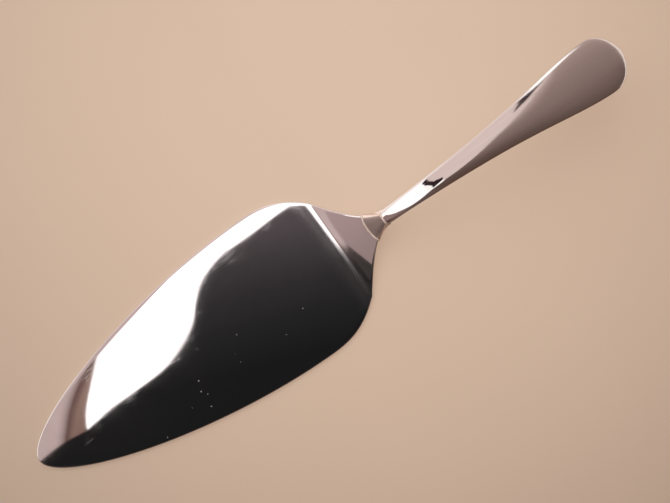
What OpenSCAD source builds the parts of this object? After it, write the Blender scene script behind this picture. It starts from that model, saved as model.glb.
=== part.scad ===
// Cake server: a leaf shaped blade of bright steel sheet that lies flat, a neck that
// rises from a crease, a short bolster on the neck's tang, and a solid handle that
// broadens towards its end. A bead of braze closes the seam at each end of the bolster.
// The tip points to minus X, the handle to plus X, and the blade rests on the plane Z = 0.
// The origin lies under the middle of the whole length.

/* [Blade] */
// Length of the flat blade in plan, from the tip to the crease
blade_l = 137.8; // [110:0.2:165]
// Width of the blade at its widest place
blade_w = 62.4; // [52:0.2:76]
// Width from shoulder to shoulder at the crease
crease_w = 43; // [36:0.5:52]
// Thickness of the sheet
sheet_t = 1.2; // [0.9:0.1:1.6]

/* [Neck] */
// Length of the neck in plan, from the crease to the front seam
neck_l = 13.4; // [11:0.2:17]
// Width of the neck at the front seam
neck_w = 11.4; // [9.4:0.2:14]
// Radius of the crease, at the middle of the sheet
crease_r = 5; // [3:0.5:7]
// Slope of the neck just behind the crease, in degrees
crease_angle = 12; // [8:1:16]
// Slope of the neck at the bolster, which the handle's root follows, in degrees
neck_angle = 30; // [24:1:36]

/* [Tang] */
// Width of the tang that runs through the bolster into the handle
tang_w = 3.2; // [2.4:0.1:4]
// Length of the tang inside the handle
tang_l = 7; // [5:0.5:10]
// Clearance around the tang in its slots
tang_clear = 0.1; // [0.05:0.01:0.15]

/* [Bolster] */
// Length of the bolster along its own slope
bolster_l = 6.4; // [5:0.1:8]
// How far the bolster stands proud of the neck's two faces
bolster_lip = 0.45; // [0.35:0.05:0.7]
// How far the bolster stands proud of the neck's edges and of the handle's root
bolster_step = 0.1; // [0.05:0.05:0.3]
// Length of each bead of braze along the seam's axis
bead_l = 0.6; // [0.4:0.1:0.9]
// How far the crown of a bead stands proud of what it joins
bead_crown = 0.12; // [0.08:0.02:0.2]

/* [Handle] */
// Length of the handle in plan, from the rear seam to the end
handle_l = 102.2; // [80:0.2:120]
// Width of the handle at its root
root_w = 5.7; // [5:0.1:7]
// Thickness of the handle at its root
root_t = 4.6; // [3.8:0.1:5.6]
// Width of the handle at its broad end
end_w = 21.5; // [17:0.1:26]
// Thickness of the handle at its broad end
end_t = 2.5; // [2:0.1:3.2]
// Length of the rounded end
cap_l = 10; // [8:0.2:13]
// Height of the middle of the handle's end above the table
end_height = 27; // [22:0.2:34]
// Slope at which the handle ends, in degrees
end_angle = -4; // [-8:1:0]
// Solid length of the root beyond the tang, where the handle is still straight
root_solid_l = 1; // [0.5:0.1:3]

/* [Hidden] */

// Shares of the blade's length and half width that shape its edge
belly_share = 0.817; // place of the widest part
tip_swell_share = 0.4; // how far the tip's round nose swells before it turns
edge_reach_share = 0.53; // how far back the long edge keeps its belly
shoulder_reach_shares = [0.36, 0.63]; // along the stretch from belly to crease
shoulder_drop_share = 0.16; // of the drop from belly to crease
neck_reach_shares = [0.3, 0.72]; // along the neck
neck_drop_shares = [0.37, 0.82]; // of the drop from crease to seam

// Shares of the handle's swell and thinning, from the root to the broad end
swell_shares = [0, 0, 0.31, 0.14, 1, 1];
thinning_shares = [0, 0.3, 0.65, 0.85, 1, 1];

// Powers of the rounded sections: 2 is an ellipse, and more is boxier
neck_power = 6;
root_power = 2.4;
end_power = 2.6;
// Power that keeps the rounded end's rim thick up to its edge
rim_power = 0.35;

// Counts of steps and sides
edge_steps = 22;
bend_steps = 4;
neck_steps = 10;
bolster_rings = 6;
handle_rings = 34;
cap_rings = 9;
sides = 28;
bead_rings = 4;

// The crease and the neck, seen from the side
crease_lead = crease_r * tan(crease_angle / 2);
crease_run = crease_r * sin(crease_angle);
crease_rise = crease_r * (1 - cos(crease_angle));
neck_r = (neck_l - crease_run + crease_lead) / (sin(neck_angle) - sin(crease_angle));
neck_rise = neck_r * (cos(crease_angle) - cos(neck_angle));
seam_x = blade_l + neck_l;
seam_z = sheet_t / 2 + crease_rise + neck_rise;

// Places along the slope of the bolster, measured from the front seam
bolster_at = bead_l;
rear_at = bolster_at + bolster_l;
root_at = rear_at + bead_l;
tang_end_at = root_at + tang_l;
straight_at = tang_end_at + root_solid_l;

// Places in plan, measured from the tip
root_x = seam_x + root_at * cos(neck_angle);
bend_x = seam_x + straight_at * cos(neck_angle);
bend_z = seam_z + straight_at * sin(neck_angle);
total_l = root_x + handle_l;
bow_l = total_l - bend_x;
broad_x = total_l - cap_l;

// Half sizes of the bolster's ends and of the slots
front_half_w = neck_w / 2 + bolster_step;
front_half_t = sheet_t / 2 + bolster_lip;
rear_half_w = root_w / 2 + bolster_step;
rear_half_t = root_t / 2 + bolster_step;
slot_w = tang_w + 2 * tang_clear;
slot_t = sheet_t + 2 * tang_clear;
overrun = sheet_t;

// A point of a cubic curve through four control points
function cubic(p, t) = pow(1 - t, 3) * p[0] + 3 * pow(1 - t, 2) * t * p[1]
    + 3 * (1 - t) * t * t * p[2] + pow(t, 3) * p[3];

// A smooth rise over the share t, from its list of ordinates
function choose(n, k) = k == 0 ? 1 : choose(n, k - 1) * (n - k + 1) / k;
function smooth(shares, t) = let (n = len(shares) - 1)
    [for (k = [0:n]) choose(n, k) * pow(t, k) * pow(1 - t, n - k)] * shares;

// A power that keeps the sign
function signed_pow(v, p) = sign(v) * pow(abs(v), p);

// One side of the blade's edge in plan, from the tip to beyond the tang
function edge_points() = let (
    half = blade_w / 2,
    drop = half - crease_w / 2,
    fall = crease_w / 2 - neck_w / 2,
    belly_x = blade_l * belly_share,
    back = blade_l - belly_x,
    leaf = [[0, 0], [0, half * tip_swell_share], [belly_x * edge_reach_share, half],
        [belly_x, half]],
    shoulder = [[belly_x, half], [belly_x + back * shoulder_reach_shares[0], half],
        [belly_x + back * shoulder_reach_shares[1], half - drop * shoulder_drop_share],
        [blade_l, crease_w / 2]],
    neck = [[blade_l, crease_w / 2],
        [blade_l + neck_l * neck_reach_shares[0], crease_w / 2 - fall * neck_drop_shares[0]],
        [blade_l + neck_l * neck_reach_shares[1], crease_w / 2 - fall * neck_drop_shares[1]],
        [seam_x, neck_w / 2]])
    concat([for (i = [0:edge_steps]) cubic(leaf, i / edge_steps)],
        [for (i = [1:neck_steps]) cubic(shoulder, i / neck_steps)],
        [for (i = [1:neck_steps]) cubic(neck, i / neck_steps)],
        [[total_l, neck_w / 2]]);

// The middle of the sheet seen from the side, as places [x, z, slope]
function sheet_path() = concat(
    [[0, sheet_t / 2, 0]],
    [for (i = [0:bend_steps]) let (a = crease_angle * i / bend_steps)
        [blade_l - crease_lead + crease_r * sin(a), sheet_t / 2 + crease_r * (1 - cos(a)), a]],
    [for (i = [1:neck_steps])
        let (a = crease_angle + (neck_angle - crease_angle) * i / neck_steps)
        [blade_l - crease_lead + crease_run + neck_r * (sin(a) - sin(crease_angle)),
            sheet_t / 2 + crease_rise + neck_r * (cos(crease_angle) - cos(a)), a]],
    [[seam_x + tang_end_at * cos(neck_angle), seam_z + tang_end_at * sin(neck_angle),
        neck_angle]]);

// The line at a distance d above the middle of the sheet
function beside(path, d) = [for (p = path) [p[0] - d * sin(p[2]), p[1] + d * cos(p[2])]];

// A list from its last item to its first
function backwards(list) = [for (i = [len(list) - 1:-1:0]) list[i]];

// Half sizes of the handle at the place x in plan: width, thickness and power of the section
function handle_half(x) = let (
    u = (min(x, broad_x) - root_x) / (broad_x - root_x),
    v = max(0, x - broad_x) / cap_l,
    round_end = sqrt(max(0, 1 - v * v)),
    half_w = root_w / 2 + (end_w - root_w) / 2 * smooth(swell_shares, u),
    half_t = root_t / 2 + (end_t - root_t) / 2 * smooth(thinning_shares, u))
    [half_w * round_end, half_t * pow(round_end, rim_power),
        root_power + (end_power - root_power) * u];

// Middle line of the handle at the place x in plan, as [z, slope]: straight over the
// tang, then one bow up to the end
function handle_mid(x) = let (
    u = max(0, x - bend_x) / bow_l,
    rise = end_height - bend_z,
    m0 = tan(neck_angle),
    m1 = tan(end_angle))
    x < bend_x ? [bend_z - (bend_x - x) * m0, neck_angle]
        : [bend_z + rise * (3 - 2 * u) * u * u
            + bow_l * (m0 * u * (1 - u) * (1 - u) - m1 * u * u * (1 - u)),
            atan(rise / bow_l * 6 * u * (1 - u) + m0 * (1 - u) * (1 - 3 * u)
                + m1 * u * (3 * u - 2))];

// A closed ring of points round the place [x, z, slope]
function ring(at, half_w, half_t, power) = [for (j = [0:sides - 1])
    let (a = 360 * j / sides, up = half_t * signed_pow(sin(a), 2 / power))
    [at[0] - up * sin(at[2]), half_w * signed_pow(cos(a), 2 / power),
        at[1] + up * cos(at[2])]];

// A solid through a list of rings, closed flat, or at one last point where there is one
module loft(rings, last = []) {
    n = len(rings);
    m = len(rings[0]);
    corners = [for (r = rings, p = r) p];
    walls = [for (k = [0:n - 2], j = [0:m - 1]) let (
        a = k * m + j, b = k * m + (j + 1) % m, c = b + m, d = a + m)
        each [[a, d, c], [a, c, b]]];
    closing = len(last) == 0 ? [[for (j = [0:m - 1]) n * m - 1 - j]]
        : [for (j = [0:m - 1]) [(n - 1) * m + j, n * m, (n - 1) * m + (j + 1) % m]];
    polyhedron(len(last) == 0 ? corners : concat(corners, [last]),
        concat([[for (j = [0:m - 1]) j]], walls, closing), convexity = 6);
}

// Moves what is drawn from the tip to the origin
module centred() {
    translate([-total_l / 2, 0, 0]) children();
}

// Stands at the front seam, with X up the slope of the bolster
module at_seam() {
    translate([seam_x, 0, seam_z]) rotate([0, -neck_angle, 0]) children();
}

// The slot that clears the tang, from one place on the slope to another
module tang_slot(from, to) {
    at_seam() translate([from, -slot_w / 2, -slot_t / 2]) cube([to - from, slot_w, slot_t]);
}

// A piece round the slope of the bolster, between two places and two rounded sections
module collar(from, to, front, rear, crown, steps, ease) {
    rings = [for (i = [0:steps]) let (
        u = i / steps,
        e = 1 - pow(1 - u, ease),
        s = from + (to - from) * u,
        swell = crown * sin(180 * u),
        half = front + (rear - front) * e)
        ring([seam_x + s * cos(neck_angle), seam_z + s * sin(neck_angle), neck_angle],
            half[0] + swell, front[1] + (rear[1] - front[1]) * u + swell, half[2])];
    loft(rings);
}

// Sheet blade: flat leaf, crease, rising neck and the tang behind it
module blade() {
    path = sheet_path();
    outline = concat(beside(path, -sheet_t / 2), backwards(beside(path, sheet_t / 2)));
    edge = edge_points();
    plan = concat(edge, [for (p = backwards(edge)) if (p[1] > 0) [p[0], -p[1]]]);
    color([0.78, 0.77, 0.76]) centred() difference() {
        intersection() {
            rotate([90, 0, 0]) linear_extrude(height = blade_w, center = true)
                polygon(outline);
            translate([0, 0, -overrun]) linear_extrude(height = end_height + overrun)
                polygon(plan);
        }
        for (y = [tang_w / 2, -tang_w / 2 - neck_w])
            at_seam() translate([0, y, -neck_w / 2])
                cube([tang_end_at + overrun, neck_w, neck_w]);
    }
}

// Bolster: a short collar that turns the flat neck into the handle's rounded root
module bolster() {
    color([0.55, 0.51, 0.5]) centred() difference() {
        collar(bolster_at, rear_at, [front_half_w, front_half_t, neck_power],
            [rear_half_w, rear_half_t, root_power], 0, bolster_rings, 1.3);
        tang_slot(bolster_at - overrun, rear_at + overrun);
    }
}

// Handle: solid steel, rounded in section, with a blind slot for the tang
module handle() {
    stations = concat([for (i = [0:handle_rings]) root_x + (broad_x - root_x) * i / handle_rings],
        [for (i = [1:cap_rings]) broad_x + cap_l * sin(90 * i / (cap_rings + 1))]);
    rings = [for (x = stations) let (mid = handle_mid(x), half = handle_half(x))
        ring([x, mid[0], mid[1]], half[0], half[1], half[2])];
    color([0.72, 0.68, 0.66]) centred() difference() {
        loft(rings, [total_l, 0, end_height]);
        tang_slot(root_at - overrun, tang_end_at + tang_clear);
    }
}

// Bead of braze between the neck's shoulders and the bolster
module front_braze() {
    color([0.82, 0.7, 0.6]) centred() difference() {
        collar(0, bolster_at, [neck_w / 2, front_half_t, neck_power],
            [front_half_w, front_half_t, neck_power], bead_crown, bead_rings, 1);
        tang_slot(-overrun, bolster_at + overrun);
    }
}

// Bead of braze between the bolster and the handle's root
module rear_braze() {
    color([0.82, 0.7, 0.6]) centred() difference() {
        collar(rear_at, root_at, [rear_half_w, rear_half_t, root_power],
            [root_w / 2, root_t / 2, root_power], bead_crown, bead_rings, 1);
        tang_slot(rear_at - overrun, root_at + overrun);
    }
}

blade();
bolster();
handle();
front_braze();
rear_braze();
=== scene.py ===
import math

import bmesh
import bpy
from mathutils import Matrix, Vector, noise


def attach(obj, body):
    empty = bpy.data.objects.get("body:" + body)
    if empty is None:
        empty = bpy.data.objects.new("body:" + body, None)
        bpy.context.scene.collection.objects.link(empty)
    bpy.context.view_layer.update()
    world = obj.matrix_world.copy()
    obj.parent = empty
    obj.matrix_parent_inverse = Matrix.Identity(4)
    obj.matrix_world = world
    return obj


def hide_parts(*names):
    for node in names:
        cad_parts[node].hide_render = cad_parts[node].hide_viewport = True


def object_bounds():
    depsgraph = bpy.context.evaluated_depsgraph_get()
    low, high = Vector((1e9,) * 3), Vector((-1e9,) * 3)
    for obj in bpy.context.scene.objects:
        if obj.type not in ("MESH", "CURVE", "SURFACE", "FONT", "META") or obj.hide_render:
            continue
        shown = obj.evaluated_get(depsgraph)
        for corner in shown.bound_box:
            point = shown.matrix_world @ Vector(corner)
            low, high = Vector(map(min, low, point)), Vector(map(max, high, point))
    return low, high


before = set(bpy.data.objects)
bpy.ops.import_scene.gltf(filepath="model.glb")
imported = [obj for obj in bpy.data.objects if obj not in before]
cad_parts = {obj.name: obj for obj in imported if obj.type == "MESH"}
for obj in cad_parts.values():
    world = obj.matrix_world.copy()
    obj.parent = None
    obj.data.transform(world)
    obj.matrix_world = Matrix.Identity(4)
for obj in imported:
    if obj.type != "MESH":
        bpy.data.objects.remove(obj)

scene = bpy.context.scene
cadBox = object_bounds()
tipX, endX = cadBox[0].x, cadBox[1].x
mergeWithin = 1e-7  # metres, closes the seams and the poles
print("frame loaded:", sorted(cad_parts))


# helpers for node trees, used by the pieces and by the materials

def plug(tree, term, socket):  # a link from another socket, or a plain value
    if isinstance(term, bpy.types.NodeSocket):
        tree.links.new(term, socket)
    else:
        socket.default_value = term


def calc(tree, operation, *terms):  # one math node, fed by numbers and sockets
    node = tree.nodes.new("ShaderNodeMath")
    node.operation = operation
    for socket, term in zip(node.inputs, terms):
        plug(tree, term, socket)
    return node.outputs[0]


def product(tree, total, *others):
    for other in others:
        total = calc(tree, "MULTIPLY", total, other)
    return total


def calcVector(tree, operation, *terms):
    node = tree.nodes.new("ShaderNodeVectorMath")
    node.operation = operation
    sockets = [node.inputs[0], node.inputs["Scale"]] if operation == "SCALE" else node.inputs
    for socket, term in zip(sockets, terms):
        plug(tree, term, socket)
    return node.outputs[1] if operation in ("DOT_PRODUCT", "DISTANCE") else node.outputs[0]


def shifted(tree, place, direction, distance):
    return calcVector(tree, "ADD", place, calcVector(tree, "SCALE", direction, distance))


def addNode(tree, kind, inputs=None, **settings):
    node = tree.nodes.new(kind)
    for name, value in settings.items():
        setattr(node, name, value)
    for name, term in (inputs or {}).items():
        plug(tree, term, node.inputs[name])
    return node


def axesOf(tree, vector):  # its x, y and z
    return addNode(tree, "ShaderNodeSeparateXYZ", {"Vector": vector}).outputs


def setInputs(modifier, values):  # by the socket's identifier, found by its name
    names = {s.name: s.identifier for s in modifier.node_group.interface.items_tree}
    for name, value in values.items():
        modifier[names[name]] = value


def newTree(name, sockets):
    tree = bpy.data.node_groups.new(name, "GeometryNodeTree")
    tree.interface.new_socket("Geometry", in_out="OUTPUT", socket_type="NodeSocketGeometry")
    for label, kind in sockets:
        tree.interface.new_socket(label, in_out="INPUT", socket_type="NodeSocket" + kind)
    return tree, tree.nodes.new("NodeGroupInput").outputs, tree.nodes.new("NodeGroupOutput").inputs


def linkPiece(name, mesh):
    piece = bpy.data.objects.new(name, mesh)
    scene.collection.objects.link(piece)
    return piece


def bakeTree(piece, tree, values):  # the tree's result becomes the piece's own plain mesh
    modifier = piece.modifiers.new(tree.name, "NODES")
    modifier.node_group = tree
    setInputs(modifier, values)
    evaluated = piece.evaluated_get(bpy.context.evaluated_depsgraph_get())
    mesh = bpy.data.meshes.new_from_object(evaluated)
    piece.modifiers.remove(modifier)
    piece.data = mesh
    mesh.name = piece.name


def cleanMesh(mesh, sharpAngle):
    work = bmesh.new()
    work.from_mesh(mesh)
    bmesh.ops.remove_doubles(work, verts=work.verts, dist=mergeWithin)
    bmesh.ops.recalc_face_normals(work, faces=work.faces)
    work.to_mesh(mesh)
    work.free()
    mesh.shade_smooth()
    mesh.set_sharp_from_angle(angle=math.radians(sharpAngle))


# camera, at the height and turn that the outline of the object asks for

camera = {
    "place": (-0.01399, -0.00183, 0.355),
    "turn": (2.109, -2.370, -35.160),
    "lens": 50,
    "sensor": 36,
    "nearest": 0.01,
}


def makeCamera():
    data = bpy.data.cameras.new("camera")
    data.lens = camera["lens"]
    data.sensor_width = camera["sensor"]
    data.clip_start = camera["nearest"]
    cameraObject = bpy.data.objects.new("camera", data)
    cameraObject.location = camera["place"]
    cameraObject.rotation_euler = [math.radians(a) for a in camera["turn"]]
    scene.collection.objects.link(cameraObject)
    scene.camera = cameraObject


makeCamera()
print("camera placed")


# materials

def newMaterial(name):
    material = bpy.data.materials.new(name)
    material.use_nodes = True
    tree = material.node_tree
    tree.nodes.clear()
    output = tree.nodes.new("ShaderNodeOutputMaterial")
    shader = tree.nodes.new("ShaderNodeBsdfPrincipled")
    tree.links.new(shader.outputs[0], output.inputs["Surface"])
    place = tree.nodes.new("ShaderNodeTexCoord").outputs["Object"]
    return material, tree, shader.inputs, place


def ramp(tree, value, low, high, lowResult=0.0, highResult=1.0):
    node = addNode(tree, "ShaderNodeMapRange", {"Value": value, "From Min": low, "From Max": high,
                                                 "To Min": lowResult, "To Max": highResult})
    return node.outputs["Result"]


def mottle(tree, place, scale, detail=3, stretch=(1, 1, 1), turn=0.0):
    moved = addNode(tree, "ShaderNodeMapping", {"Vector": place, "Scale": stretch,
                                                "Rotation": (0, 0, math.radians(turn))})
    return addNode(tree, "ShaderNodeTexNoise", {"Vector": moved.outputs[0], "Scale": scale,
                                                "Detail": detail}).outputs["Fac"]


def hairlines(tree, place, finish):  # short scratches in a few directions, each kind sparse
    stretch = (1, finish["scratchStretch"], 1)
    total = 0.0
    for k, turn in enumerate(finish["scratchTurns"]):
        lines = mottle(tree, place, finish["scratchScale"], detail=1, stretch=stretch, turn=turn)
        thin = calc(tree, "ABSOLUTE", calc(tree, "SUBTRACT", lines, 0.5))
        line = ramp(tree, thin, 0.0, finish["scratchThin"], 1.0, 0.0)
        patches = mottle(tree, place, finish["patchScale"] + finish["patchStep"] * k, detail=1)
        shown = ramp(tree, patches, finish["patchFrom"], finish["patchFrom"] + finish["patchSoft"])
        total = calc(tree, "ADD", total, product(tree, line, shown))
    return calc(tree, "MINIMUM", total, 1.0)


def dust(tree, place, finish):  # tiny dull specks
    cells = addNode(tree, "ShaderNodeTexVoronoi", {"Vector": place, "Scale": finish["speckScale"]})
    chance = addNode(tree, "ShaderNodeSeparateColor", {"Color": cells.outputs["Color"]}).outputs[0]
    chosen = calc(tree, "GREATER_THAN", chance, 1 - finish["speckShare"])
    spot = ramp(tree, cells.outputs["Distance"], 0.0, finish["speckSize"], 1.0, 0.0)
    return product(tree, chosen, spot)


def tint(tree, share, finish):  # from its colour to its dull colour
    mix = addNode(tree, "ShaderNodeMix", {"Factor": share}, data_type="RGBA")
    mix.inputs["A"].default_value = (*finish["colour"], 1)
    mix.inputs["B"].default_value = (*finish["dull"], 1)
    return mix.outputs["Result"]


def addBump(tree, height, distance, strength=1.0):
    return addNode(tree, "ShaderNodeBump", {"Height": height, "Distance": distance,
                                            "Strength": strength}).outputs[0]


def coatMetal(tree, shader, colour, roughness, normal):
    plug(tree, colour, shader["Base Color"])
    plug(tree, roughness, shader["Roughness"])
    plug(tree, normal, shader["Normal"])
    shader["Metallic"].default_value = 1.0


def bladeSteel():
    finish = {
        "colour": (0.79, 0.77, 0.765), "dull": (0.70, 0.68, 0.67),
        "roughness": 0.022, "smudge": 0.016, "scratchRough": 0.05,
        "smudgeScale": 38, "smudgeFrom": 0.45, "smudgeTo": 0.75,
        "creaseAt": 0.1366, "creaseWear": 0.0065, "creaseRough": 0.17, "creaseBehind": 0.0014,
        "rubbedBoth": (0.008, -0.004),
        "wearAcross": ((0.02, 0.005, 0.4, 0.74), (0.001, -0.004, 1.0, 0.68)),
        "wearScale": 1500, "wearMottle": (0.3, 0.7, 0.7),
        "scratchTurns": (12, 55, 100, 160), "scratchScale": 46, "scratchStretch": 55,
        "scratchThin": 0.005, "scratchDeep": 0.0000006,
        "patchScale": 55, "patchStep": 17, "patchFrom": 0.6, "patchSoft": 0.12,
        "speckScale": 650, "speckShare": 0.02, "speckSize": 0.2, "speckRough": 0.55,
    }
    material, tree, shader, place = newMaterial("bladeSteel")
    scratches = hairlines(tree, place, finish)
    specks = dust(tree, place, finish)
    smudges = mottle(tree, place, finish["smudgeScale"], detail=4)
    smudges = ramp(tree, smudges, finish["smudgeFrom"], finish["smudgeTo"])
    rough = calc(tree, "MULTIPLY_ADD", smudges, finish["smudge"], finish["roughness"])
    rough = calc(tree, "MULTIPLY_ADD", scratches, finish["scratchRough"], rough)
    along, across, _ = axesOf(tree, place)
    ahead = calc(tree, "SUBTRACT", tipX + finish["creaseAt"], along)
    worn = ramp(tree, calc(tree, "ABSOLUTE", ahead), 0.0, finish["creaseWear"], 1.0, 0.0)
    both = ramp(tree, across, *finish["rubbedBoth"])  # on the minus Y half both sides are rubbed
    side = calc(tree, "MAXIMUM", ramp(tree, ahead, -finish["creaseBehind"], 0.0), both)
    graded = [ramp(tree, across, *limits) for limits in finish["wearAcross"]]
    patchy = ramp(tree, mottle(tree, place, finish["wearScale"]), *finish["wearMottle"])
    worn = product(tree, worn, side, *graded, patchy)
    rough = calc(tree, "MULTIPLY_ADD", worn, finish["creaseRough"], rough)
    rough = calc(tree, "MULTIPLY_ADD", specks, finish["speckRough"], rough)
    coatMetal(tree, shader, tint(tree, smudges, finish), rough,
              addBump(tree, scratches, finish["scratchDeep"]))
    return material


def handleSteel():
    finish = {
        "colour": (0.78, 0.75, 0.74), "dull": (0.72, 0.69, 0.68),
        "roughness": 0.045, "satin": 0.24, "polishedTo": 0.05, "satinFrom": 0.1,
        "scratchTurns": (0, 4, -6), "scratchScale": 60, "scratchStretch": 40,
        "scratchRough": 0.06, "scratchThin": 0.012, "scratchDeep": 0.0000012,
        "patchScale": 60, "patchStep": 17, "patchFrom": 0.55, "patchSoft": 0.12,
        "streakScale": 55, "streakStretch": 70, "streakFrom": 0.3, "streakTo": 0.7,
    }
    material, tree, shader, place = newMaterial("handleSteel")
    drawn = (1, finish["streakStretch"], 1)
    streaks = mottle(tree, place, finish["streakScale"], detail=4, stretch=drawn)
    scratches = hairlines(tree, place, finish)
    along = axesOf(tree, place)[0]
    worn = ramp(tree, along, finish["polishedTo"], finish["satinFrom"])  # satin at the broad end
    worn = product(tree, streaks, worn)
    rough = calc(tree, "MULTIPLY_ADD", worn, finish["satin"], finish["roughness"])
    rough = calc(tree, "MULTIPLY_ADD", scratches, finish["scratchRough"], rough)
    dulled = ramp(tree, streaks, finish["streakFrom"], finish["streakTo"])
    coatMetal(tree, shader, tint(tree, dulled, finish), rough,
              addBump(tree, scratches, finish["scratchDeep"]))
    return material


def bolsterSteel():
    finish = {
        "colour": (0.42, 0.37, 0.34), "dull": (0.33, 0.29, 0.27), "roughness": 0.3,
        "grainScale": 1400, "grainRough": 0.12, "grain": 0.000004, "cloudScale": 260,
        # the paler colour of the collar's two sides is a painted highlight
        "sideHighlightColour": (0.76, 0.66, 0.60), "highlightFrom": 0.0039, "highlightTo": 0.0043,
        "frontAt": 0.1517, "taper": 0.52,
    }
    material, tree, shader, place = newMaterial("bolsterSteel")
    grain = mottle(tree, place, finish["grainScale"], detail=5)
    clouds = mottle(tree, place, finish["cloudScale"])
    rough = calc(tree, "MULTIPLY_ADD", grain, finish["grainRough"], finish["roughness"])
    along, across, _ = axesOf(tree, place)
    behind = calc(tree, "SUBTRACT", along, tipX + finish["frontAt"])
    out = calc(tree, "MULTIPLY_ADD", behind, finish["taper"], calc(tree, "ABSOLUTE", across))
    side = ramp(tree, out, finish["highlightFrom"], finish["highlightTo"])  # its two sides get a painted highlight, a paler colour
    mix = addNode(tree, "ShaderNodeMix", {"Factor": side}, data_type="RGBA")
    plug(tree, tint(tree, clouds, finish), mix.inputs["A"])
    mix.inputs["B"].default_value = (*finish["sideHighlightColour"], 1)
    coatMetal(tree, shader, mix.outputs["Result"], rough, addBump(tree, grain, finish["grain"]))
    return material


def brazeMetal():
    finish = {
        "colour": (0.84, 0.75, 0.68), "dull": (0.70, 0.61, 0.54), "roughness": 0.42,
        "grainScale": 1700, "grainRough": 0.2, "grain": 0.000012, "cloudScale": 420,
    }
    material, tree, shader, place = newMaterial("brazeMetal")
    grain = mottle(tree, place, finish["grainScale"], detail=4)
    clouds = mottle(tree, place, finish["cloudScale"], detail=2)
    rough = calc(tree, "MULTIPLY_ADD", grain, finish["grainRough"], finish["roughness"])
    coatMetal(tree, shader, tint(tree, clouds, finish), rough,
              addBump(tree, grain, finish["grain"]))
    return material


def tableTop():  # a pale smooth top that glows by itself: a painted pool of light, brightest round poolAt
    finish = {
        "colour": (0.331, 0.26, 0.20), "dull": (0.318, 0.249, 0.191), "roughness": 0.65,
        "grainScale": 900, "grainRough": 0.1, "grain": 0.00002, "grainShown": 0.3,
        "cloudScale": 14, "cloudGlow": (1.02, 0.98), "shine": 0.2, "glow": (0.423, 0.309, 0.23),
        "poolAt": (0.045, 0.046, 0.0), "poolRadius": 0.19, "poolEdge": 0.54, "poolLeast": 0.35,
    }
    material, tree, shader, place = newMaterial("tableTop")
    grain = mottle(tree, place, finish["grainScale"], detail=4)
    clouds = mottle(tree, place, finish["cloudScale"], detail=4)
    rough = calc(tree, "MULTIPLY_ADD", grain, finish["grainRough"], finish["roughness"])
    # painted light: the glow is strongest at poolAt, falls off outwards and is mottled by the
    # clouds
    away = calcVector(tree, "DISTANCE", place, finish["poolAt"])
    away = calc(tree, "POWER", calc(tree, "DIVIDE", away, finish["poolRadius"]), 2.0)
    pool = calc(tree, "MULTIPLY_ADD", away, finish["poolEdge"] - 1, 1.0)
    pool = calc(tree, "MAXIMUM", pool, finish["poolLeast"])
    pool = product(tree, pool, ramp(tree, clouds, 0.0, 1.0, *finish["cloudGlow"]))
    plug(tree, tint(tree, clouds, finish), shader["Base Color"])
    plug(tree, rough, shader["Roughness"])
    plug(tree, pool, shader["Emission Strength"])
    plug(tree, addBump(tree, grain, finish["grain"], finish["grainShown"]), shader["Normal"])
    shader["Emission Color"].default_value = (*finish["glow"], 1)
    shader["Specular IOR Level"].default_value = finish["shine"]
    return material


materials = {
    "blade": bladeSteel(),
    "handle": handleSteel(),
    "bolster": bolsterSteel(),
    "braze": brazeMetal(),
    "table": tableTop(),
}
print("materials made:", len(materials))


# blade: a flat leaf with a crease, and the neck that rises from it

blade = {
    "length": 0.1378, "width": 0.0624, "creaseWidth": 0.043, "thickness": 0.0012,
    "neckLength": 0.0134, "neckWidth": 0.0114,
    "creaseRadius": 0.0155, "creaseSpread": 0.0073, "creaseAngle": 12.4, "creaseBack": 0.0011,
    "neckAngle": 30, "neckStart": 0.825, "neckPower": 7, "neckParts": 40,
    "belly": 0.817, "tipSwell": 0.4, "edgeReach": 0.53,
    "shoulderReach": (0.36, 0.63), "shoulderDrop": 0.16,
    "neckReach": (0.3, 0.72), "neckDrop": (0.37, 0.82),
    "rim": 0.00045, "rimRings": 8, "columns": 36, "sharpFrom": 50,
    "leafSteps": 110, "shoulderSteps": 30, "neckSteps": 34,
    "leafCrowding": 1.3, "shoulderCrowding": 2.2, "neckCrowding": 2, "intoBead": 0.0002,
    "waveHeight": 0.00001, "waveLength": 0.03, "waveSeed": 4,
}
creaseTurn = math.radians(blade["creaseAngle"])
neckTurn = math.radians(blade["neckAngle"])
seamX = blade["length"] + blade["neckLength"]


def neckSlope(share):  # grows evenly, and faster just before the bolster
    grown = math.sin(neckTurn) - math.sin(creaseTurn)
    bent = blade["neckStart"] * share + (1 - blade["neckStart"]) * share ** blade["neckPower"]
    return math.asin(math.sin(creaseTurn) + grown * bent)


def sheetMiddle(x, y=0.0):  # height and slope of the sheet's middle, x from the tip in plan
    low = blade["thickness"] / 2
    outer = min(abs(y) / (blade["creaseWidth"] / 2), 1.0)
    radius = blade["creaseRadius"] + blade["creaseSpread"] * outer ** 2  # softer at the sides
    run, rise = radius * math.sin(creaseTurn), radius * (1 - math.cos(creaseTurn))
    lead = radius * math.tan(creaseTurn / 2) + blade["creaseBack"]
    along = x - blade["length"] + lead
    if along <= 0:
        return low, 0.0
    if along <= run:
        slope = math.asin(along / radius)
        return low + radius * (1 - math.cos(slope)), slope
    part = (blade["neckLength"] + lead - run) / blade["neckParts"]  # the neck, in short parts
    height = low + rise
    for k in range(blade["neckParts"]):
        reach = min(along - run - k * part, part)
        if reach <= 0:
            break
        slope = neckSlope((k + 0.5) / blade["neckParts"])
        height += reach * math.tan(slope)
    return height, neckSlope(min((along - run) / part / blade["neckParts"], 1.0))


def cubic(p, t):
    s = 1 - t
    return s ** 3 * p[0] + 3 * s * s * t * p[1] + 3 * s * t * t * p[2] + t ** 3 * p[3]


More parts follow.
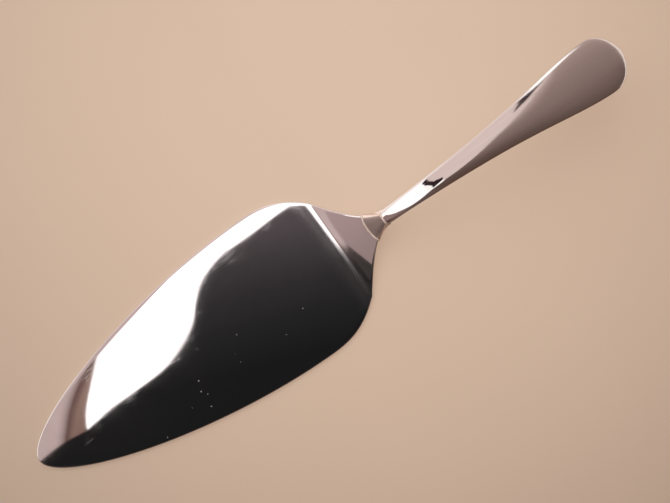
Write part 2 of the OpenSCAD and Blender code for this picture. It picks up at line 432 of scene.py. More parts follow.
def bladeEdge():  # one side of the outline in plan, from the tip to the front seam
    half = blade["width"] / 2
    creaseHalf = blade["creaseWidth"] / 2
    bellyX = blade["length"] * blade["belly"]
    back, drop = blade["length"] - bellyX, half - creaseHalf
    neck, fall = blade["neckLength"], creaseHalf - blade["neckWidth"] / 2
    belly, crease = Vector((bellyX, half)), Vector((blade["length"], creaseHalf))
    near, far = blade["shoulderReach"]
    leaf = [Vector((0, 0)), Vector((0, half * blade["tipSwell"])),
            Vector((bellyX * blade["edgeReach"], half)), belly]
    shoulder = [belly, Vector((bellyX + back * near, half)),
                Vector((bellyX + back * far, half - drop * blade["shoulderDrop"])), crease]
    neckCurve = [crease]
    for reach, lower in zip(blade["neckReach"] + (1,), blade["neckDrop"] + (1,)):
        neckCurve.append(crease + Vector((neck * reach, -fall * lower)))
    n, m, k = blade["leafSteps"], blade["shoulderSteps"], blade["neckSteps"]
    points = [cubic(leaf, (i / n) ** blade["leafCrowding"]) for i in range(n + 1)]
    points += [cubic(shoulder, 1 - (1 - i / m) ** blade["shoulderCrowding"])
               for i in range(1, m + 1)]
    points += [cubic(neckCurve, (i / k) ** blade["neckCrowding"]) for i in range(1, k + 1)]
    points.append(points[-1] + Vector((blade["intoBead"], 0)))
    return points


def inwards(points):  # at each place of the outline, the direction into the sheet
    steps = [(b - a).normalized() for a, b in zip(points, points[1:])]
    before, after = [Vector((0, 1))] + steps, steps + [steps[-1]]
    found = []
    for a, b in zip(before, after):
        along = (a + b).normalized()
        found.append(Vector((along.y, -along.x)))
    found[0] = Vector((1, 0))
    return found


def wave(x, y):  # the sheet isn't quite flat
    place = Vector((x, y, blade["waveSeed"])) / blade["waveLength"]
    return blade["waveHeight"] * noise.noise(place)


def bladeRow(place, inward, side):  # one row across the sheet, on its upper or lower face
    rimTurns = [math.pi / 2 * k / blade["rimRings"] for k in range(blade["rimRings"] + 1)]
    near = []
    for turn in rimTurns:
        inset = place + inward * blade["rim"] * (1 - math.cos(turn))
        near.append((inset.x, max(inset.y, 0.0), math.sin(turn)))
    last = near[-1]
    middle = [(last[0], last[1] * (1 - 2 * j / blade["columns"]), 1.0)
              for j in range(1, blade["columns"])]
    row = near + middle + [(x, -y, h) for x, y, h in reversed(near)]
    found = []
    for x, y, h in row:
        z, slope = sheetMiddle(x, y)
        up = side * h * blade["thickness"] / 2 + h * wave(x, y)
        found.append((tipX + x - up * math.sin(slope), y, max(z + up * math.cos(slope), 0.0)))
    return found


def skin(work, rows):
    grid = [[work.verts.new(p) for p in row] for row in rows]
    for a, b in zip(grid, grid[1:]):
        for j in range(len(a) - 1):
            work.faces.new((a[j], a[j + 1], b[j + 1], b[j]))
    return grid


def makeBlade():
    points = bladeEdge()
    directions = inwards(points)
    work = bmesh.new()
    faces = [skin(work, [bladeRow(p, d, side) for p, d in zip(points, directions)])
             for side in (1, -1)]
    top, bottom = faces[0][-1], faces[1][-1]
    for j in range(len(top) - 1):  # closes the neck's end
        work.faces.new((top[j], top[j + 1], bottom[j + 1], bottom[j]))
    mesh = bpy.data.meshes.new("bladeSheet")
    work.to_mesh(mesh)
    work.free()
    cleanMesh(mesh, blade["sharpFrom"])
    piece = linkPiece("blade_sheet", mesh)
    mesh.materials.append(materials["blade"])
    return piece


# what joins the blade and the handle, measured up the slope from the front seam

bead = {
    "length": 0.0006, "radius": 0.0005, "sides": 120, "roundSides": 14, "sharpFrom": 60,
    "unevenness": 0.22, "lumpScale": 4.0, "lumpDetail": 2.0, "frontSeed": 3.0, "rearSeed": 8.0,
}
bolster = {
    "length": 0.0064, "lip": 0.00045, "step": 0.0001, "bow": 0.0011,
    "frontPower": 5.0, "rearPower": 3.0, "rings": 20, "sides": 120, "sharpFrom": 40,
    "swell": (0.26, 0.5, 0.71, 0.88), "thinning": (0.2, 0.4, 0.6, 0.8),
}
handle = {
    "rootWidth": 0.0057, "rootThickness": 0.0046,
    "broadWidth": 0.0215, "broadThickness": 0.0025, "roundEnd": 0.01,
    "endHeight": 0.027, "endAngle": -4, "endInset": 0.00004, "tang": 0.007, "solidRoot": 0.001,
    "rootPower": 2.4, "broadPower": 2.6, "rimPower": 0.2,
    "swell": (0.0, 0.31, 0.14, 1.0), "thinning": (0.3, 0.65, 0.85, 1.0),
    "straightRings": 8, "rings": 120, "roundRings": 28, "sides": 112, "sharpFrom": 50,
}
curveOrdinates = (1, 2, 3, 4)  # the inner ones that shape swell and thinning
sideways = (0, 1, 0)
bolsterAt = bead["length"]
rearAt = bolsterAt + bolster["length"]
rootAt = rearAt + bead["length"]
handleEnd = endX - handle["endInset"]
straightAt = rootAt + handle["tang"] + handle["solidRoot"]
seamZ = sheetMiddle(seamX)[0]


def upSlope(along):  # a place on the middle line of bolster and root
    run, rise = along * math.cos(neckTurn), along * math.sin(neckTurn)
    return Vector((tipX + seamX + run, 0, seamZ + rise))


def handlePlace(x):  # the handle's middle line beyond its straight root
    bend = upSlope(straightAt)
    run = handleEnd - bend.x
    u = (x - bend.x) / run
    rise = handle["endHeight"] - handle["endInset"] - bend.z
    startSlope, endSlope = math.tan(neckTurn), math.tan(math.radians(handle["endAngle"]))
    z = bend.z + rise * (3 - 2 * u) * u * u
    z += run * (startSlope * u * (1 - u) ** 2 - endSlope * u * u * (1 - u))
    return Vector((x, 0, z))


def railPiece(name, places):
    mesh = bpy.data.meshes.new(name)
    mesh.from_pydata(places, [(i, i + 1) for i in range(len(places) - 1)], [])
    return linkPiece(name, mesh)


def captured(tree, geometry, wanted):
    node = addNode(tree, "GeometryNodeCaptureAttribute", {"Geometry": geometry})
    for name, source in wanted.items():
        node.capture_items.new("VECTOR", name)
        plug(tree, tree.nodes.new(source).outputs[0], node.inputs[name])
    return node.outputs


def finishTree(tree, geometry, material, result):
    real = addNode(tree, "GeometryNodeRealizeInstances", {"Geometry": geometry}).outputs[0]
    painted = addNode(tree, "GeometryNodeSetMaterial", {"Geometry": real, "Material": material})
    plug(tree, painted.outputs[0], result["Geometry"])


def unitCircle(tree, sides):
    kind = "GeometryNodeCurvePrimitiveCircle"
    return addNode(tree, kind, {"Resolution": sides, "Radius": 1.0}).outputs[0]


def signedPower(tree, value, power):
    size = calc(tree, "POWER", calc(tree, "ABSOLUTE", value), power)
    return product(tree, calc(tree, "SIGN", value), size)


def roundedPlace(tree, turn, power):  # across and above, on a rounded outline of half size 1
    x, y, _ = axesOf(tree, turn)
    share = calc(tree, "DIVIDE", 2.0, power)
    return signedPower(tree, x, share), signedPower(tree, y, share)


def limited(tree, value):
    return calc(tree, "MINIMUM", calc(tree, "MAXIMUM", value, 0.0), 1.0)


def risingShare(tree, share, given, label):  # from 0 to 1, its curve given by inner ordinates
    degree = len(curveOrdinates) + 1
    back = calc(tree, "SUBTRACT", 1.0, share)
    total = calc(tree, "POWER", share, degree)
    for k in curveOrdinates:
        part = product(tree, calc(tree, "POWER", share, k), calc(tree, "POWER", back, degree - k),
                       math.comb(degree, k))
        total = calc(tree, "MULTIPLY_ADD", part, given[f"{label} {k}"], total)
    return total


def between(tree, first, last, share):
    return calc(tree, "MULTIPLY_ADD", calc(tree, "SUBTRACT", last, first), share, first)


def sweptTree():  # a section that changes along a rail, with an end that may close round
    labels = ["Root Width", "Broad Width", "Root Thickness", "Broad Thickness", "Root Power",
              "Broad Power", "Rim Power", "Start", "Round From", "Round End", "Bow"]
    labels += [f"{label} {k}" for label in ("Swell", "Thinning") for k in curveOrdinates]
    sockets = [("Rail", "Geometry"), ("Sides", "Int"), ("Material", "Material")]
    sockets += [(label, "Float") for label in labels]
    tree, given, result = newTree("sweptPiece", sockets)
    rail = addNode(tree, "GeometryNodeMeshToCurve", {"Mesh": given["Rail"]}).outputs[0]
    rail = captured(tree, rail, {"Place": "GeometryNodeInputPosition",
                                 "Heading": "GeometryNodeInputTangent"})
    circle = unitCircle(tree, given["Sides"])
    circle = captured(tree, circle, {"Turn": "GeometryNodeInputPosition"})
    swept = addNode(tree, "GeometryNodeCurveToMesh", {
        "Curve": rail["Geometry"], "Profile Curve": circle["Geometry"], "Fill Caps": True})

    x = axesOf(tree, rail["Place"])[0]
    run = calc(tree, "SUBTRACT", given["Round From"], given["Start"])
    share = calc(tree, "DIVIDE", calc(tree, "SUBTRACT", x, given["Start"]), run)
    share = limited(tree, share)
    past = calc(tree, "SUBTRACT", x, given["Round From"])
    past = limited(tree, calc(tree, "DIVIDE", past, given["Round End"]))
    roundEnd = calc(tree, "SQRT", calc(tree, "SUBTRACT", 1.0, product(tree, past, past)))
    swell = risingShare(tree, share, given, "Swell")
    thinning = risingShare(tree, share, given, "Thinning")
    wide = between(tree, given["Root Width"], given["Broad Width"], swell)
    halfWidth = product(tree, wide, 0.5, roundEnd)
    thick = between(tree, given["Root Thickness"], given["Broad Thickness"], thinning)
    thinEnd = calc(tree, "POWER", roundEnd, given["Rim Power"])
    halfThick = product(tree, thick, 0.5, thinEnd)

    power = between(tree, given["Root Power"], given["Broad Power"], share)
    across, above = roundedPlace(tree, circle["Turn"], power)
    fade = product(tree, given["Bow"], calc(tree, "SUBTRACT", share, 1.0))
    bow = calc(tree, "SUBTRACT", 1.0, product(tree, across, across))
    place = shifted(tree, rail["Place"], rail["Heading"], product(tree, bow, fade))
    place = shifted(tree, place, sideways, product(tree, across, halfWidth))
    up = calcVector(tree, "CROSS_PRODUCT", rail["Heading"], sideways)
    place = shifted(tree, place, up, product(tree, above, halfThick))
    shaped = addNode(tree, "GeometryNodeSetPosition", {"Geometry": swept.outputs[0],
                                                       "Position": place})
    closed = addNode(tree, "GeometryNodeMergeByDistance", {"Geometry": shaped.outputs[0],
                                                           "Distance": mergeWithin})
    finishTree(tree, closed.outputs[0], given["Material"], result)
    return tree


def beadTree():  # an uneven ring of filler round a rounded outline
    labels = ("Slope", "Half Width", "Half Thickness", "Power", "Bow", "Bead Radius",
              "Unevenness", "Lump Scale", "Lump Detail", "Seed")
    sockets = [("Sides", "Int"), ("Round Sides", "Int"), ("Place", "Vector"),
               ("Material", "Material")]
    sockets += [(label, "Float") for label in labels]
    tree, given, result = newTree("beadRing", sockets)
    position = tree.nodes.new("GeometryNodeInputPosition").outputs[0]
    across, above = roundedPlace(tree, position, given["Power"])
    bow = calc(tree, "SUBTRACT", product(tree, across, across), 1.0)
    rise, run = calc(tree, "SINE", given["Slope"]), calc(tree, "COSINE", given["Slope"])
    fall = calc(tree, "MULTIPLY", rise, -1.0)
    heading = addNode(tree, "ShaderNodeCombineXYZ", {"X": run, "Z": rise}).outputs[0]
    up = addNode(tree, "ShaderNodeCombineXYZ", {"X": fall, "Z": run}).outputs[0]
    place = shifted(tree, given["Place"], heading, product(tree, bow, given["Bow"]))
    place = shifted(tree, place, up, product(tree, above, given["Half Thickness"]))
    place = shifted(tree, place, sideways, product(tree, across, given["Half Width"]))
    ring = addNode(tree, "GeometryNodeSetPosition", {
        "Geometry": unitCircle(tree, given["Sides"]), "Position": place})
    lumps = addNode(tree, "ShaderNodeTexNoise", {
        "Vector": position, "W": given["Seed"], "Scale": given["Lump Scale"],
        "Detail": given["Lump Detail"]}, noise_dimensions="4D").outputs["Fac"]
    lumps = calc(tree, "SUBTRACT", lumps, 0.5)
    size = calc(tree, "MULTIPLY_ADD", lumps, given["Unevenness"], 1.0)
    section = addNode(tree, "GeometryNodeCurvePrimitiveCircle", {
        "Resolution": given["Round Sides"], "Radius": given["Bead Radius"]})
    swept = addNode(tree, "GeometryNodeCurveToMesh", {
        "Curve": ring.outputs[0], "Profile Curve": section.outputs[0], "Scale": size})
    finishTree(tree, swept.outputs[0], given["Material"], result)
    return tree


def sweepPiece(tree, name, rail, sizes, values):
    piece = railPiece(name, rail)
    values = {"Sides": sizes["sides"], **values}
    for k in curveOrdinates:
        values[f"Swell {k}"] = sizes["swell"][k - 1]
        values[f"Thinning {k}"] = sizes["thinning"][k - 1]
    bakeTree(piece, tree, values)
    cleanMesh(piece.data, sizes["sharpFrom"])
    return piece


def makeHandle(tree):
    root, bend = upSlope(rootAt), upSlope(straightAt)
    n, m, k = handle["straightRings"], handle["rings"], handle["roundRings"]
    broadX = handleEnd - handle["roundEnd"]
    turns = [math.pi / 2 * i / k for i in range(1, k + 1)]
    rail = [root.lerp(bend, i / n) for i in range(n)]
    rail += [handlePlace(bend.x + (broadX - bend.x) * i / m) for i in range(m + 1)]
    rail += [handlePlace(broadX + handle["roundEnd"] * math.sin(turn)) for turn in turns]
    return sweepPiece(tree, "handle_forging", rail, handle, {
        "Material": materials["handle"],
        "Root Width": handle["rootWidth"], "Broad Width": handle["broadWidth"],
        "Root Thickness": handle["rootThickness"], "Broad Thickness": handle["broadThickness"],
        "Root Power": handle["rootPower"], "Broad Power": handle["broadPower"],
        "Rim Power": handle["rimPower"], "Start": root.x, "Round From": broadX,
        "Round End": handle["roundEnd"], "Bow": 0.0})


def makeBolster(tree):
    front, rear = upSlope(bolsterAt), upSlope(rearAt)
    rail = [front.lerp(rear, i / bolster["rings"]) for i in range(bolster["rings"] + 1)]
    return sweepPiece(tree, "bolster_collar", rail, bolster, {
        "Material": materials["bolster"],
        "Root Width": blade["neckWidth"] + 2 * bolster["step"],
        "Broad Width": handle["rootWidth"] + 2 * bolster["step"],
        "Root Thickness": blade["thickness"] + 2 * bolster["lip"],
        "Broad Thickness": handle["rootThickness"] + 2 * bolster["step"],
        "Root Power": bolster["frontPower"], "Broad Power": bolster["rearPower"],
        "Rim Power": 1.0, "Start": front.x, "Round From": rear.x,
        "Round End": bolster["length"], "Bow": bolster["bow"]})


def makeBead(tree, name, along, halfWidth, halfThick, power, bow, seed):
    piece = linkPiece(name, bpy.data.meshes.new(name))
    bakeTree(piece, tree, {
        "Sides": bead["sides"], "Round Sides": bead["roundSides"],
        "Material": materials["braze"], "Place": upSlope(along), "Slope": neckTurn,
        "Half Width": halfWidth - bead["radius"] / 2,
        "Half Thickness": halfThick - bead["radius"] / 2,
        "Power": power, "Bow": bow, "Bead Radius": bead["radius"],
        "Unevenness": bead["unevenness"], "Lump Scale": bead["lumpScale"],
        "Lump Detail": bead["lumpDetail"], "Seed": seed})
    cleanMesh(piece.data, bead["sharpFrom"])
    return piece


swept, beads = sweptTree(), beadTree()
bladeSheet = makeBlade()
print("blade built:", len(bladeSheet.data.polygons), "faces")
handleForging = makeHandle(swept)
print("handle built:", len(handleForging.data.polygons), "faces")
bolsterCollar = makeBolster(swept)
frontBead = makeBead(beads, "front_bead", bead["length"] / 2,
                     blade["neckWidth"] / 2 + bolster["step"],
                     blade["thickness"] / 2 + bolster["lip"],
                     bolster["frontPower"], bolster["bow"], bead["frontSeed"])
rearBead = makeBead(beads, "rear_bead", rearAt + bead["length"] / 2,
                    handle["rootWidth"] / 2 + bolster["step"],
                    handle["rootThickness"] / 2 + bolster["step"],
                    bolster["rearPower"], 0.0, bead["rearSeed"])
print("bolster and its beads built")

for piece, node, slot in (
        (bladeSheet, "blade", "blade_steel"), (handleForging, "handle", "handle_steel"),
        (bolsterCollar, "bolster", "bolster_steel"), (frontBead, "front_braze", "braze"),
        (rearBead, "rear_braze", "braze")):
    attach(piece, "root")
    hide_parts(node)


# studio: floor, soft light, and plain boards that the polished steel reflects

studio = {
    "floorHalf": 1.5, "floorDrop": 0.0001,
    "keyPlace": (-0.15, 0.55, 0.75), "keySize": 1.2, "keyPower": 5.0,
    "keyColour": (0.84, 0.97, 1.0),
    "sky": ((-0.9, (0.06, 0.035, 0.025)), (-0.42, (0.13, 0.085, 0.07)),
            (0.0, (0.40, 0.29, 0.28)), (0.28, (0.85, 0.64, 0.6)), (0.9, (1.1, 0.95, 0.9))),
    "boardHeight": 1.2, "boardStep": 0.001, "fades": 8,
    "darkAxis": (0.36, 0.93),
    "darkColours": ((-0.12, (0.0125, 0.0125, 0.0128)), (-0.05, (0.022, 0.0215, 0.0222)),
                    (0.0, (0.035, 0.032, 0.034)), (0.05, (0.060, 0.052, 0.055)),
                    (0.1, (0.10, 0.081, 0.088))),
    "neckShade": (0.052, 0.044, 0.041),
    "white": (1.0, 0.93, 0.93), "whiteGlow": 1.7,
    "brownColours": ((0.0, (0.268, 0.165, 0.137)), (0.05, (0.326, 0.207, 0.168)),
                     (0.1, (0.375, 0.25, 0.22))),
    "brownDeep": (0.29, 0.185, 0.152), "brownLine": (0.145, 0.078, 0.07),
    "haze": (0.65, 0.50, 0.48), "hazeEnd": (0.42, 0.305, 0.29),
    "brownWide": 0.012, "hazeWide": 0.021, "hazeTo": -0.535, "hazeSink": 0.07,
    "hazeSlant": 0.25,
    "lowHeight": 0.065, "lowStep": 0.0005, "lowFrom": 0.0125, "lowHalf": 0.25, "lowFades": 6,
    "pale": (0.855, 0.693, 0.647), "lowWhite": (1.0, 0.96, 0.94), "dark": (0.035, 0.016, 0.02),
    "lowColours": ((-0.25, (0.115, 0.068, 0.048)), (-0.09, (0.128, 0.077, 0.057)),
                   (-0.035, (0.13, 0.083, 0.068)), (-0.02, (0.138, 0.091, 0.08)),
                   (-0.0133, (0.172, 0.114, 0.102)), (-0.009, (0.193, 0.129, 0.114)),
                   (-0.0055, (0.225, 0.152, 0.138)), (-0.003, (0.25, 0.168, 0.152)),
                   (0.0, (0.275, 0.19, 0.172)), (0.02, (0.40, 0.293, 0.257)),
                   (0.035, (0.50, 0.37, 0.33))),
    "fadeFrom": 0.075, "fadeSlope": 0.35,
    "fadeSpan": 0.8, "fadeGap": 0.00005,  # how far apart the fades lie, one over another
    "fadeBright": (0.62, 0.47, 0.43), "fadePlain": (0.30, 0.205, 0.187),
    "rim": (1.0, 0.95, 0.92), "rimGlow": 1.5,
    "rootEdgeGlow": 1.3, "rootWhiteGlow": 1.5, "rootLine": (0.22, 0.15, 0.14),
    "rootColours": ((-0.25, (0.13, 0.08, 0.07)), (-0.09, (0.154, 0.095, 0.085)),
                    (-0.047, (0.15, 0.105, 0.1)), (-0.0345, (0.207, 0.155, 0.155)),
                    (-0.0255, (0.28, 0.185, 0.168)), (-0.009, (0.325, 0.226, 0.213))),
    "edgeColours": ((0.026, (0.23, 0.136, 0.106)), (0.034, (0.187, 0.128, 0.106)),
                    (0.04, (0.14, 0.098, 0.089)), (0.047, (0.125, 0.076, 0.063)),
                    (0.06, (0.125, 0.07, 0.054)), (0.122, (0.12, 0.068, 0.045))),
    "edgeLights": ((0.026, (0.92, 0.82, 0.78)), (0.045, (0.88, 0.78, 0.74)),
                   (0.06, (0.73, 0.615, 0.57))),
    "edgeGlow": 1.3,
    "underShade": (0.04, 0.022, 0.016), "broadLight": (0.95, 0.80, 0.74),
    "window": (1.0, 0.97, 0.95), "windowGlow": 1.8, "endBoard": (1.0, 0.86, 0.77),
}


def makeFloor():
    h, z = studio["floorHalf"], -studio["floorDrop"]
    mesh = bpy.data.meshes.new("floor")
    mesh.from_pydata([(-h, -h, z), (h, -h, z), (h, h, z), (-h, h, z)], [], [(0, 1, 2, 3)])
    mesh.materials.append(materials["table"])
    linkPiece("floor", mesh)


def colourBands(tree, value, stops):  # colours that follow a value, from first stop to last
    low, high = stops[0][0], stops[-1][0]
    node = addNode(tree, "ShaderNodeValToRGB", {"Fac": ramp(tree, value, low, high)})
    elements = node.color_ramp.elements
    for k, (place, colour) in enumerate(stops):
        share = (place - low) / (high - low)
        if k == 0:
            element = elements[0]
        elif k == len(stops) - 1:
            element = elements[-1]
        else:
            element = elements.new(share)
        element.position = share
        element.color = (*colour, 1)
    return node.outputs["Color"]


def curve(points, steps=8):  # a smooth line through a few places
    ends = [2 * points[0] - points[1], *points, 2 * points[-1] - points[-2]]
    found = []
    for a, b, c, d in zip(ends, ends[1:], ends[2:], ends[3:]):
        for k in range(steps):
            t = k / steps
            found.append(0.5 * (2 * b + t * (c - a) + t * t * (2 * a - 5 * b + 4 * c - d)
                                + t ** 3 * (3 * b - a - 3 * c + d)))
    return found + [points[-1]]


def smooth(*points):
    return [tuple(p) for p in curve([Vector(p) for p in points])]


def makeBoard(name, corners, colour, strength=1.0, axis=(0, 1)):  # or colours along an axis
    mesh = bpy.data.meshes.new(name)
    mesh.from_pydata(corners, [], [tuple(range(len(corners)))])
    material = bpy.data.materials.new(name)
    material.use_nodes = True
    tree = material.node_tree
    tree.nodes.clear()
    glow = addNode(tree, "ShaderNodeEmission", {"Strength": strength})
    if isinstance(colour[0], tuple):
        place = tree.nodes.new("ShaderNodeTexCoord").outputs["Object"]
        across = calcVector(tree, "DOT_PRODUCT", place, (*axis, 0))
        plug(tree, colourBands(tree, across, colour), glow.inputs["Color"])
    else:
        glow.inputs["Color"].default_value = (*colour, 1)
    output = tree.nodes.new("ShaderNodeOutputMaterial")
    tree.links.new(glow.outputs[0], output.inputs["Surface"])
    mesh.materials.append(material)
    board = linkPiece(name, mesh)
    board.visible_camera = board.visible_diffuse = board.visible_shadow = False


def flatBoard(name, outline, height, colour, **finish):
    makeBoard(name, [(x, y, height) for x, y in outline], colour, **finish)


def crossBoard(name, x, outline, colour, **finish):  # upright, given as y and height
    makeBoard(name, [(x, y, z) for y, z in outline], colour, **finish)


def wall(name, corners, first, last, colour, **finish):  # upright, given as x and height
    run, drift = last[0] - first[0], last[1] - first[1]
    places = [(x, first[1] + drift * (x - first[0]) / run, z) for x, z in corners]
    makeBoard(name, places, colour, **finish)


def makeKeyLight():
    light = bpy.data.lights.new("keyLight", "AREA")
    light.shape = "DISK"
    light.size = studio["keySize"]
    light.energy = studio["keyPower"]
    light.color = studio["keyColour"]
    lamp = bpy.data.objects.new("keyLight", light)
    lamp.location = studio["keyPlace"]
    lamp.rotation_euler = (-Vector(studio["keyPlace"])).to_track_quat("-Z", "Y").to_euler()
    lamp.visible_glossy = False
    scene.collection.objects.link(lamp)


def makeSky():  # pale on the plus Y side, brown on the other
    world = bpy.data.worlds.new("studioSky")
    world.use_nodes = True
    tree = world.node_tree
    tree.nodes.clear()
    direction = tree.nodes.new("ShaderNodeTexCoord").outputs["Generated"]
    shades = colourBands(tree, axesOf(tree, direction)[1], studio["sky"])
    shine = addNode(tree, "ShaderNodeBackground", {"Color": shades})
    output = tree.nodes.new("ShaderNodeOutputWorld")
    tree.links.new(shine.outputs[0], output.inputs["Surface"])
    scene.world = world


def makeDarkBoards():  # what the blade's dark side and the neck reflect
    height = studio["boardHeight"]
    darkEdge = smooth((0.3, 0.03), (0.12, 0.085), (0.07, 0.108), (0.035, 0.1135),
                      (-0.03, 0.111), (-0.09, 0.109), (-0.135, 0.095), (-0.165, 0.072),
                      (-0.19, 0.046), (-0.225, 0.026), (-0.27, 0.012), (-0.33, 0.009),
                      (-0.38, 0.008), (-0.43, 0.003), (-0.475, 0.007), (-0.525, 0.004))
    neckEdge = smooth((-0.525, 0.004), (-0.58, 0.003), (-0.637, -0.0153), (-0.706, -0.041),
                      (-0.837, -0.102), (-0.985, -0.192))
    flatBoard("neckShade", neckEdge + [(-0.985, -0.4), (-0.525, -0.4)], height,
              studio["neckShade"])
    flatBoard("darkBoard", darkEdge + [(-0.525, -0.4), (0.3, -0.4)], height,
              studio["darkColours"], axis=studio["darkAxis"])


def makePaleBoards():  # what the blade's bright side and its tip reflect
    height, step, fades = studio["boardHeight"], studio["boardStep"], studio["fades"]
    inside, outside = studio["brownWide"], studio["hazeWide"]
    deep, line = Vector(studio["brownDeep"]), Vector(studio["brownLine"])
    haze, plain = Vector(studio["haze"]), Vector(studio["hazeEnd"])
    deepLayer = 3
    risingLayer = deepLayer + fades + 1
    sinkingLayer = risingLayer + fades
    whiteEdge = smooth((-0.2, 0.26), (-0.27, 0.15), (-0.315, 0.112), (-0.346, 0.0945),
                       (-0.378, 0.066), (-0.406, 0.039), (-0.42, 0.022), (-0.431, 0.001),
                       (-0.436, -0.03))
    flatBoard("whiteBoard", whiteEdge + [(0.15, -0.05), (0.15, 0.26)], height + step,
              studio["white"], strength=studio["whiteGlow"])
    outer = smooth((-0.15, 0.23), (-0.28, 0.138), (-0.352, 0.098), (-0.371, 0.088),
                   (-0.408, 0.067), (-0.438, 0.044), (-0.461, 0.02), (-0.471, 0.009),
                   (-0.49, -0.02))
    back = [(-0.3, -0.03), (-0.15, 0.1)]
    flatBoard("brownBoard", [(x + inside, y - inside / 2) for x, y in outer] + back,
              height + 2 * step, studio["brownColours"])
    for k in range(fades):  # towards the line the brown darkens
        share = 1 - (k + 1) / fades
        edge = [(x + inside * share, y - inside / 2 * share) for x, y in outer]
        flatBoard(f"brownDeep{k}", edge + back, height + (deepLayer + k) * step,
                  tuple(deep.lerp(line, 1 - share)))
    for k in range(fades):  # and outside it a pale haze comes up
        share = (k + 1) / fades
        edge = [(x - outside * share, y + outside / 2 * share) for x, y in outer]
        flatBoard(f"hazeRising{k}", edge + back, height + (risingLayer + k) * step,
                  tuple(line.lerp(haze, 1 - (1 - share) ** 2)))
    for k in range(fades):  # which sinks again further out
        edgeX = studio["hazeTo"] - studio["hazeSink"] * (k + 1) / fades
        outline = [(edgeX - studio["hazeSlant"], 0.3), (edgeX, 0.06), (edgeX, -0.05),
                   (-0.3, -0.05), (-0.15, 0.26)]
        flatBoard(f"hazeSinking{k}", outline, height + (sinkingLayer + k) * step,
                  tuple(haze.lerp(plain, k / fades)))


def makeLowBoards():  # what the handle reflects, out of sight of the blade and the neck
    near, half = studio["lowFrom"], studio["lowHalf"]
    height, step, fades = studio["lowHeight"], studio["lowStep"], studio["lowFades"]
    bright, plain = Vector(studio["fadeBright"]), Vector(studio["fadePlain"])
    lowEdge = [(near, -half), (0.192, -half), (0.192, -0.03), (0.18, -0.02), (0.169, -0.01),
               (0.16, 0.0), (0.166, 0.01), (0.175, 0.02), (0.187, 0.036), (0.205, 0.09),
               (0.205, half), (near, half)]
    flatBoard("lowBoard", lowEdge, height, studio["lowColours"])
    rootCurve = [(near, -0.0248), (0.0174, -0.0214), (0.0213, -0.0197), (0.0262, -0.0165)]
    paleEdge = smooth(*rootCurve, (0.0315, -0.012), (0.04, -0.0095), (0.06, -0.002),
                      (0.08, 0.003), (0.1, 0.01), (0.118, 0.022))
    back = [(0.118, half), (near, half)]
    flatBoard("paleBoard", paleEdge + back, height - step, studio["pale"])
    for k in range(fades):  # beyond the narrow part its edge grows soft
        share = (k + 1) / fades
        edge = [(x, y - max(x - studio["fadeFrom"], 0) * studio["fadeSlope"] * share)
                for x, y in paleEdge]
        sunk = step * (1 - share) * studio["fadeSpan"]
        flatBoard(f"paleFade{k}", edge + back, height - sunk - studio["fadeGap"],
                  tuple(bright.lerp(plain, share)))
    rimEdge = [(0.099, 0.037), (0.106, 0.028), (0.122, 0.029), (0.14, 0.037), (0.15, half),
               (0.099, half)]
    flatBoard("rimBoard", rimEdge, height - 2 * step, studio["rim"],
              strength=studio["rimGlow"])
    rootEdge = rootCurve + [(0.031, -0.0108), (0.0301, -0.0063), (0.0199, -0.003), (near, 0.02)]
    flatBoard("rootEdge", rootEdge, height - 2 * step, studio["lowWhite"],
              strength=studio["rootEdgeGlow"])
    mark = [(0.0185, -0.0165), (0.0215, -0.0125), (0.0259, -0.0089), (0.0301, -0.0063),
            (0.0312, -0.0003), (0.0275, 0.0014), (0.0228, 0.0042), (0.0187, 0.0194),
            (0.0155, 0.035), (near, 0.047), (near, 0.018), (0.0162, 0.0059),
            (0.0199, -0.003)]
    flatBoard("darkMark", mark, height - 3 * step, studio["dark"])
    sliver = [(0.0895, 0.0135), (0.1, 0.016), (0.118, 0.027), (0.106, 0.026), (0.099, 0.038),
              (0.0935, 0.038), (0.094, 0.024)]
    flatBoard("darkSliver", sliver, height - 3 * step, studio["dark"])


def makeCrossBoards():  # what the handle's root reflects
    near, half, height = studio["lowFrom"], studio["lowHalf"], studio["lowHeight"]
    step = studio["lowStep"]
    white = [(-0.0255, height), (-0.0278, 0.0591), (-0.0355, 0.0479), (-0.0373, 0.0397),
             (-0.0334, 0.0333), (-0.0224, 0.0312), (-0.0115, 0.0298), (-0.0035, 0.0277),
             (0.0013, 0.0254), (0.0078, 0.0231), (0.02, 0.021), (0.06, 0.012), (half, 0.012),
             (half, height)]
    crossBoard("rootWhite", near, white, studio["lowWhite"], strength=studio["rootWhiteGlow"])
    shade = [(-half, 0.012), (-0.06, 0.012), (-0.02, 0.021), (0.004, 0.0235),
             (0.004, height), (-half, height)]  # the neck doesn't see its lower line
    crossBoard("rootShade", near - step, shade, studio["rootColours"])
    mark = [(0.018, height), (0.046, 0.053), (0.0745, 0.0485), (0.064, 0.057), (0.047, height)]
    crossBoard("rootMark", near + step, mark, studio["dark"])
    pale = [(0.05, height), (0.064, 0.057), (0.0745, 0.0485), (0.1, 0.038), (half, 0.036),
            (half, height)]
    crossBoard("rootPale", near + step, pale, studio["pale"])
    line = [(0.0392, 0.01), (0.0378, 0.0175), (0.0388, 0.0255), (0.0404, 0.0255),
            (0.0388, 0.0175)]
    crossBoard("rootLine", near + step, line, studio["rootLine"])


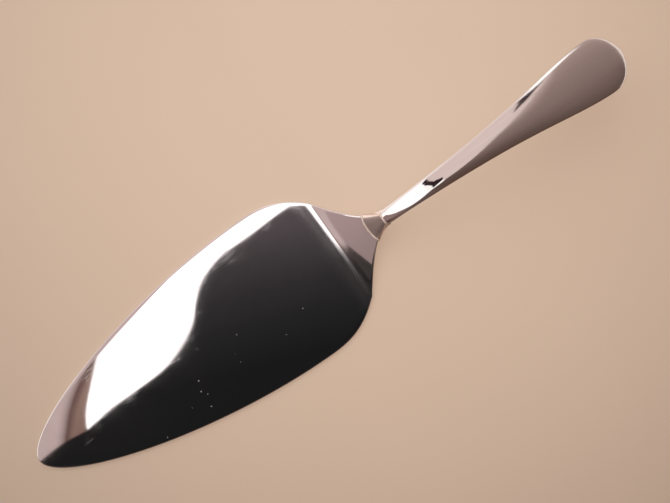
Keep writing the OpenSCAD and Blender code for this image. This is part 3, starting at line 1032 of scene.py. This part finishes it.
def makeWalls():  # what the handle's two edges reflect
    edgeColours, alongX = studio["edgeColours"], (1, 0)
    rootTop = [(0.026, 0.0), (0.06, 0.0), (0.06, 0.0272), (0.05, 0.0232), (0.042, 0.0195),
               (0.034, 0.0155), (0.026, 0.011)]
    broadTop = [(0.06, 0.0), (0.122, 0.0), (0.122, 0.0298), (0.11, 0.0304), (0.1, 0.0307),
                (0.09, 0.0306), (0.08, 0.0299), (0.07, 0.0288), (0.06, 0.0272)]
    under = [(0.06, 0.0), (0.122, 0.0), (0.122, 0.0274), (0.11, 0.028), (0.1, 0.0283),
             (0.09, 0.0283), (0.08, 0.0275), (0.07, 0.0262), (0.06, 0.0238)]
    lightTop = broadTop[:1] + [(0.095, 0.0), (0.095, 0.0306)] + broadTop[6:]
    wall("rootEdgeShade", rootTop, (0.026, -0.0044), (0.06, -0.0058), edgeColours, axis=alongX)
    wall("broadEdgeShade", broadTop, (0.06, -0.0058), (0.122, -0.0135), edgeColours, axis=alongX)
    wall("rootEdgeLight", rootTop, (0.026, 0.0044), (0.06, 0.0058), studio["edgeLights"],
         strength=studio["edgeGlow"], axis=alongX)
    wall("broadUnderShade", under, (0.06, -0.0057), (0.122, -0.0134), studio["underShade"])
    wall("broadEdgeLight", lightTop, (0.06, 0.0058), (0.095, 0.0102), studio["broadLight"])


def makeTallBoards():  # a window beyond the tip, and a warm board beyond the handle
    window = [(-0.62, 0.1, 0.95), (-0.62, 1.2, 0.95), (-1.0, 1.2, 0.62), (-1.0, 0.1, 0.62)]
    makeBoard("windowBoard", window, studio["window"], strength=studio["windowGlow"])
    end = [(0.6, -0.6, 0.0), (0.6, 0.6, 0.0), (0.6, 0.6, 0.9), (0.6, -0.6, 0.9)]
    makeBoard("endBoard", end, studio["endBoard"])


makeFloor()
makeKeyLight()
makeSky()
makeDarkBoards()
makePaleBoards()
makeLowBoards()
makeCrossBoards()
makeWalls()
makeTallBoards()
print("studio ready")

scene.view_settings.view_transform = "Standard"
